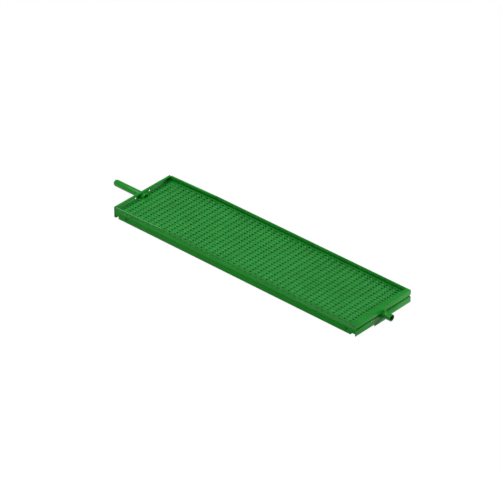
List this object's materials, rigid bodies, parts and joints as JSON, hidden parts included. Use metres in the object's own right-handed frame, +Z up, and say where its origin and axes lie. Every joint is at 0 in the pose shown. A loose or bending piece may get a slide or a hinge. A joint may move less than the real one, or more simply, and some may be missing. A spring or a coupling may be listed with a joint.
{
  "type": "straight slide tray",
  "caption": "Long shallow steel slide tray with a perforated floor, low side walls and a dipped end, carried on an axle tube at each end.",
  "frame": {"origin": "under the middle of the overall length, on the plane the two end lugs stand on", "axes": "+X along the tray towards the head end with the short stub, +Y to the tray's right side, +Z up"},
  "size_m": [1.7274, 0.3924, 0.0745],
  "materials": {
    "frame_enamel": "glossy green sprayed enamel over sheet steel",
    "tray_enamel": "glossy green sprayed enamel over sheet steel",
    "floor_enamel": "glossy green enamel over pressed sheet steel",
    "inner_enamel": "deep green enamel",
    "axle_enamel": "glossy green enamel over steel tube",
    "bush_bronze": "plain sintered bronze",
    "zinc_plate": "bright zinc plating",
    "black_oxide": "oiled black oxide"
  },
  "bodies": {
    "tray": {"foot_end_channel": "frame_enamel", "head_end_plate": "frame_enamel", "head_end_angle": "frame_enamel", "foot_hub": "frame_enamel", "head_hub": "frame_enamel", "side_rail_left": "frame_enamel", "side_rail_right": "frame_enamel", "frame_bolt_foot_left": "frame_enamel", "frame_bolt_foot_right": "frame_enamel", "frame_bolt_head_left": "frame_enamel", "frame_bolt_head_right": "frame_enamel", "tray_head_sheet": "tray_enamel", "tray_side_left": "tray_enamel", "tray_side_right": "tray_enamel", "rim_main_left": "tray_enamel", "rim_main_right": "tray_enamel", "rim_runoff_left": "tray_enamel", "rim_runoff_right": "tray_enamel", "floor_main": "floor_enamel", "floor_runoff": "floor_enamel", "bottom_pan": "inner_enamel", "cross_bearer_1": "inner_enamel", "cross_bearer_2": "inner_enamel", "cross_bearer_3": "inner_enamel", "cross_bearer_4": "inner_enamel", "cross_bearer_5": "inner_enamel", "cross_bearer_6": "inner_enamel", "foot_bracket_left": "inner_enamel", "foot_bracket_right": "inner_enamel", "head_bracket_left": "inner_enamel", "head_bracket_right": "inner_enamel", "head_upper_bracket_left": "inner_enamel", "head_upper_bracket_right": "inner_enamel", "foot_bush": "bush_bronze", "head_bush": "bush_bronze", "frame_washer_foot_left": "zinc_plate", "frame_washer_foot_right": "zinc_plate", "frame_washer_head_left": "zinc_plate", "frame_washer_head_right": "zinc_plate", "frame_nut_foot_left": "zinc_plate", "frame_nut_foot_right": "zinc_plate", "frame_nut_head_left": "zinc_plate", "frame_nut_head_right": "zinc_plate"},
    "foot_axle": {"foot_tube": "axle_enamel", "bar_plug": "axle_enamel", "foot_collar": "axle_enamel", "foot_grub_screw": "black_oxide"},
    "head_axle": {"head_tube": "axle_enamel", "head_collar": "axle_enamel", "head_grub_screw": "black_oxide"}
  },
  "joints": [
    {"name": "foot_axle_turn", "type": "hinge", "parent": "tray", "child": "foot_axle", "pos_m": [-0.6877, 0, 0.0396], "axis": [1, 0, 0], "continuous": true},
    {"name": "head_axle_turn", "type": "hinge", "parent": "tray", "child": "head_axle", "pos_m": [0.8123, 0, 0.0396], "axis": [1, 0, 0], "continuous": true}
  ]
}
